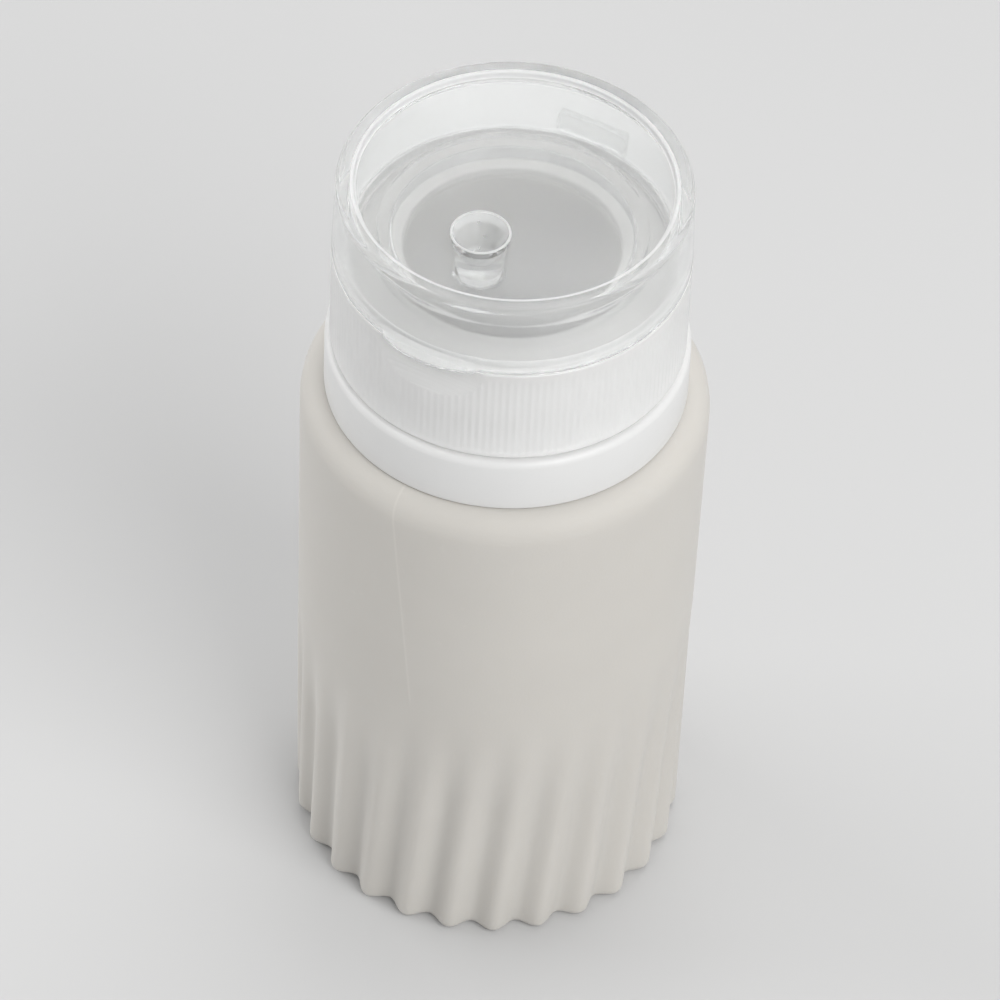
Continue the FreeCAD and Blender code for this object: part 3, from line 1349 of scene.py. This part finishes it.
@dataclass
class FlipLid(Part):
    """The clear lid: drafted wall, sunk top, cored plug pin, thumb lip and hinge land."""

    levels: Levels
    top_thickness: float = 1.2 * MM
    recess: float = 0.6 * MM
    draft: float = 0.3 * MM
    rim_width: float = 1.8 * MM
    rim_round: float = 0.5 * MM
    rim_edge: float = 0.4 * MM
    edge_round: float = 0.2 * MM
    inner_round: float = 0.5 * MM
    thumb_width: float = 11.0 * MM
    thumb_height: float = 1.8 * MM
    plug_offset: float = 7.2 * MM
    plug_root: float = 2.9 * MM
    plug_tip: float = 2.2 * MM
    plug_dip: float = 0.8 * MM
    plug_round: float = 0.3 * MM
    core_radius: float = 2.8 * MM
    core_floor: float = 1.3 * MM
    core_depth: float = 3.6 * MM
    core_round: float = 0.9 * MM
    bead_width: float = 0.22 * MM
    bead_height: float = 0.1 * MM
    land_round: float = 0.12 * MM
    columns: int = 240
    pin_columns: int = 72
    lip_columns: int = 28
    hazy_slot: int = 1
    cloudy_slot: int = 2
    edge_highlight_slot: int = 3
    floor_slope: float = 0.5

    def section(self) -> Section:
        """The lid's wall, from the middle of its top to the middle of its underside.

        Returns:
            The outline.
        """
        levels = self.levels
        foot = levels.lid_low.z
        top = levels.lid_high.z
        plate_top = top - self.recess
        plate_foot = plate_top - self.top_thickness
        top_bore = levels.lid_bore - self.draft
        rim = levels.skirt_radius - self.draft
        outline = Section()
        outline.to(0.0, plate_top)
        outline.to(rim - self.rim_width, plate_top, self.edge_round)
        outline.to(rim - self.rim_width, top, self.edge_round)
        outline.to(rim - self.rim_width + self.rim_edge, top)
        outline.to(rim, top, self.rim_round)
        outline.to(levels.skirt_radius, foot, self.edge_round, cuts=4)
        outline.to(levels.lid_bore, foot, self.edge_round)
        outline.to(top_bore, plate_foot, self.inner_round, cuts=4)
        outline.to(0.0, plate_foot)
        return outline

    def on_pin(self, name: str, outline: Section, closed: bool = False) -> Moulding:
        """Turns a section about the pin's axis.

        Args:
            name: The object's name.
            outline: The section.
            closed: Whether it closes on itself.

        Returns:
            The turned mesh.
        """
        return Turned(name, outline, self.pin_columns, closed, axis=(0.0, -self.plug_offset, 0.0))

    def plug(self) -> Moulding:
        """The tapered pin under the lid's top.

        Returns:
            The pin, ready to be joined on.
        """
        levels = self.levels
        tip = levels.cap_high.z - self.plug_dip
        plate_top = levels.lid_high.z - self.recess
        root = plate_top - self.top_thickness / 2
        outline = Section()
        outline.to(0.0, tip).to(self.plug_tip, tip, self.plug_round)
        outline.to(self.plug_root, root, cuts=4).to(0.0, root)
        return self.on_pin("plug_pin", outline)

    def core(self) -> Moulding:
        """The tool that hollows the pin from above.

        Returns:
            The tool.
        """
        plate_top = self.levels.lid_high.z - self.recess
        floor = plate_top - self.core_depth
        head = plate_top + self.recess
        outline = Section()
        outline.to(0.0, floor).to(self.core_floor, floor, self.core_round)
        outline.to(self.core_radius, plate_top, cuts=3).to(self.core_radius, head).to(0.0, head)
        return self.on_pin("core_tool", outline)

    def bead(self) -> Moulding:
        """The fine raised ring round the mouth of the cored pin.

        Returns:
            The ring, ready to be joined on.
        """
        plate_top = self.levels.lid_high.z - self.recess
        foot = plate_top - self.bead_width
        head = plate_top + self.bead_height
        inner = self.core_radius - self.bead_width
        outer = self.core_radius + self.bead_width
        outline = Section()
        outline.to(inner, foot).to(outer, foot)
        outline.to(outer, head, self.bead_height).to(inner, head)
        return self.on_pin("mouth_bead", outline, closed=True)

    def thumb_lip(self) -> Moulding:
        """The ledge under which a thumb lifts the lid, fading out to both sides.

        Returns:
            The ledge, ready to be joined on.
        """
        levels = self.levels
        foot = levels.lid_low.z
        head = foot + self.thumb_height
        inner = levels.lid_bore + levels.lid_wall / 2
        tip = -levels.lid_low.y
        half_angle = math.asin(self.thumb_width / 2 / tip)
        columns = self.lip_columns
        front = -math.pi / 2
        outline = Section()
        outline.to(inner, foot).to(tip, foot, self.edge_round)
        outline.to(tip, foot + self.thumb_height / 3, self.edge_round)
        outline.to(levels.skirt_radius - self.draft, head).to(inner, head)
        mould = Moulding("thumb_lip")
        side = front + half_angle
        mould.trace(outline.points(), closed=True, facing=side)
        mould.turn(columns, 2 * half_angle)
        start = Vector((math.cos(side), math.sin(side)))
        for index in range(columns + 1):
            share = math.cos(math.pi / 2 * (2 * index / columns - 1)) ** 0.5

            def in_column(point: Vector) -> bool:
                """Whether a point stands proud of the wall in this column.

                Args:
                    point: The point's place.

                Returns:
                    True if it does.
                """
                flat = point.to_2d()
                column = round(flat.angle(start) / (2 * half_angle) * columns)
                return flat.length > levels.skirt_radius and column == index

            mould.pick(in_column)
            mould.swell((levels.skirt_radius + (tip - levels.skirt_radius) * share) / tip)
        mould.weld()
        return mould

    def build(self) -> Moulding:
        """Models the lid.

        Returns:
            The mould.
        """
        levels = self.levels
        mould = Turned("clear_lid", self.section(), self.columns)
        mould.work(self.plug(), Way.JOIN)
        mould.work(self.bead(), Way.JOIN)
        mould.work(self.core(), Way.CUT)
        mould.work(self.thumb_lip(), Way.JOIN)
        half = levels.strap_high.x
        land_low = Vector((-half, levels.lid_bore + levels.lid_wall / 2, levels.lid_low.z))
        land_high = Vector((half, levels.strap_low.y, levels.strap_high.z))
        mould.work(Block("lid_land", land_low, land_high, self.land_round), Way.JOIN)
        return mould

    def dress(self, piece: bpy.types.Object) -> None:
        """Gives the lid clear plastic, cloudier on its wall and in the cored pin, and a frosted copy on
        raised edges that paints their highlight.

        Args:
            piece: The finished mesh's object.
        """
        colour = (0.965, 0.97, 0.968)
        clear = SeeThroughPlastic(
            "clear_plastic", colour, 0.08, clearness=0.9, lamp_share=0.6, bending=1.2, gloss=0.3)
        hazy = SeeThroughPlastic(
            "hazy_plastic", colour, 0.12, clearness=0.82, lamp_share=0.47, bending=1.2, gloss=0.25)
        cloudy = SeeThroughPlastic(
            "cloudy_plastic", colour, 0.18, clearness=0.66, lamp_share=0.5, bending=1.25)
        # Painted highlight: a frosted, less clear copy of the lid's plastic on the raised rim and the bead,
        # standing in for the bright line of their edge highlight.
        edge_highlight_finish = SeeThroughPlastic(
            "edge_highlight_plastic", shade(colour, 0.82), 0.3, clearness=0.4, lamp_share=0.5, bending=1.25)
        self.coat(piece, clear, hazy, cloudy, edge_highlight_finish)
        plate_top = self.levels.lid_high.z - self.recess
        edge = self.levels.skirt_radius - self.draft - self.rim_width + self.rim_edge
        wall = self.levels.lid_bore - self.draft - self.inner_round
        pin = Vector((0.0, -self.plug_offset))
        for face in piece.data.polygons:
            flat = face.center.to_2d()
            depth = plate_top - face.center.z
            across = flat - pin
            looks_in = face.normal.z > self.floor_slope or face.normal.to_2d().dot(across) < 0.0
            in_core = across.length < self.core_radius and depth < self.core_depth + Moulding.NEAR
            raised = depth < -Moulding.NEAR
            # Raised rim and bead faces take the painted edge highlight.
            if raised and flat.length < edge:
                face.material_index = self.edge_highlight_slot
            elif in_core and looks_in:
                face.material_index = self.cloudy_slot
            elif flat.length > wall and not raised:
                face.material_index = self.hazy_slot


@dataclass
class LivingHinge(Part):
    """The thin strap that folds between cap and lid."""

    levels: Levels
    far_body: str = "lid"
    skin: float = 0.01 * MM
    groove_depth: float = 0.2 * MM
    groove_width: float = 0.9 * MM
    fold_reach: float = 0.55 * MM
    edge_round: float = 0.12 * MM

    @property
    def fold(self) -> float:
        """Height of the line where the strap folds."""
        return self.levels.parting + self.levels.lid_gap / 2

    def build(self) -> Moulding:
        """Models the strap as a section drawn out along the hinge line.

        Returns:
            The mould.
        """
        low, high = self.levels.strap_low, self.levels.strap_high
        inner = low.y + self.skin
        half_groove = self.groove_width / 2
        outline = Section()
        outline.to(inner, low.z, self.edge_round)
        outline.to(high.y, low.z, self.edge_round)
        outline.to(high.y, self.fold - half_groove)
        outline.to(high.y, self.fold + half_groove, cuts=10)
        outline.to(high.y, high.z, self.edge_round)
        outline.to(inner, high.z, self.edge_round)
        outline.to(inner, self.fold + half_groove)
        outline.to(inner + self.groove_depth, self.fold, self.edge_round, cuts=4)
        outline.to(inner, self.fold - half_groove, cuts=4)
        mould = Moulding("lid_hinge", axis=(low.x, 0.0, 0.0))
        mould.trace(outline.points(), closed=True, facing=math.pi / 2)
        bpy.ops.mesh.select_all(action="SELECT")
        bpy.ops.mesh.extrude_edges_move(TRANSFORM_OT_translate={"value": (high.x - low.x, 0.0, 0.0)})
        mould.weld()
        return mould

    def dress(self, piece: bpy.types.Object) -> None:
        """Gives the strap the lid's clear plastic.

        Args:
            piece: The finished mesh's object.
        """
        finish = SeeThroughPlastic(
            "strap_plastic", (0.96, 0.965, 0.962), 0.12, clearness=0.8, lamp_share=0.85, bending=1.3)
        self.coat(piece, finish)

    def fix(self, piece: bpy.types.Object) -> None:
        """Bakes the strap's transform into its mesh and leaves it unattached to any body.

        Args:
            piece: The finished mesh's object.
        """
        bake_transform(piece)


@dataclass
class Lamp:
    """One soft box of the studio."""

    name: str
    place: tuple[float, float, float]
    size: float
    power: float


@dataclass
class Studio:
    """Floor, soft light and camera."""

    aim: tuple[float, float, float] = (0.0, 0.0, 46.0 * MM)
    azimuth: float = math.radians(26.0)
    elevation: float = math.radians(47.1)
    distance: float = 658.6 * MM
    roll: float = 0.049
    lens: float = 229.0
    sensor: float = 36.0
    floor_size: float = 4.0
    sky: float = 0.55

    def lay_floor(self) -> None:
        """Lays the pale floor that the bottle stands on."""
        bpy.ops.object.select_all(action="DESELECT")
        bpy.ops.mesh.primitive_plane_add(size=self.floor_size)
        floor = bpy.context.object
        floor.name = "studio_floor"
        floor.data.materials.append(FloorPaint("pale_floor", (0.56, 0.56, 0.56), 0.6).material())

    def hang_lamps(self) -> None:
        """Hangs the soft boxes and sets the even light of the room."""
        lamps = [
            Lamp("key_box", (0.62, -0.28, 0.62), 0.6, 5.1),
            Lamp("top_box", (-0.05, 0.35, 0.95), 0.6, 3.1),
            Lamp("fill_box", (-0.75, -0.05, 0.35), 0.6, 2.75),
        ]
        for lamp in lamps:
            light = bpy.data.lights.new(lamp.name, "AREA")
            light.shape = "SQUARE"
            light.size = lamp.size
            light.energy = lamp.power
            hung = bpy.data.objects.new(lamp.name, light)
            hung.location = lamp.place
            hung.rotation_euler = (Vector(self.aim) - hung.location).to_track_quat("-Z", "Y").to_euler()
            bpy.context.collection.objects.link(hung)
        world = bpy.data.worlds.new("studio_room")
        world.use_nodes = True
        background = world.node_tree.nodes["Background"]
        background.inputs["Color"].default_value = (1.0, 1.0, 1.0, 1.0)
        background.inputs["Strength"].default_value = self.sky
        bpy.context.scene.world = world
        bpy.context.scene.view_settings.view_transform = "Standard"

    def set_camera(self) -> None:
        """Sets the camera at the photograph's viewing angle."""
        flat = math.cos(self.elevation)
        ahead, across = math.cos(self.azimuth) * flat, math.sin(self.azimuth) * flat
        back = Vector((across, -ahead, math.sin(self.elevation)))
        lens = bpy.data.cameras.new("camera")
        lens.lens = self.lens
        lens.sensor_width = self.sensor
        lens.clip_start = 10 * MM
        camera = bpy.data.objects.new("camera", lens)
        camera.location = Vector(self.aim) + back * self.distance
        camera.rotation_mode = "QUATERNION"
        level = (-back).to_track_quat("-Z", "Y")
        camera.rotation_quaternion = level @ Quaternion((0.0, 0.0, 1.0), self.roll)
        bpy.context.collection.objects.link(camera)
        bpy.context.scene.camera = camera

    def make(self) -> None:
        """Sets up the whole studio."""
        self.lay_floor()
        self.hang_lamps()
        self.set_camera()


def main() -> None:
    """Builds every piece in order, then the studio."""
    logging.basicConfig(level=logging.INFO, format="%(name)s: %(message)s")
    levels = Levels()
    thread = ScrewThread()
    parts: list[Part] = [
        SqueezeBottle("bottle_body", "bottle", "silicone", levels),
        NeckRing("neck_ring", "bottle", "white_plastic", levels, thread),
        SealWasher("seal_washer", "seal", "soft_seal", levels),
        ScrewCap("screw_cap", "cap", "milky_plastic", levels, thread),
        FlipLid("flip_lid", "lid", "clear_plastic", levels),
        LivingHinge("hinge_strap", "cap", "clear_plastic", levels),
    ]
    for part in parts:
        part.make()
    Studio().make()


if __name__ == "__main__":
    main()
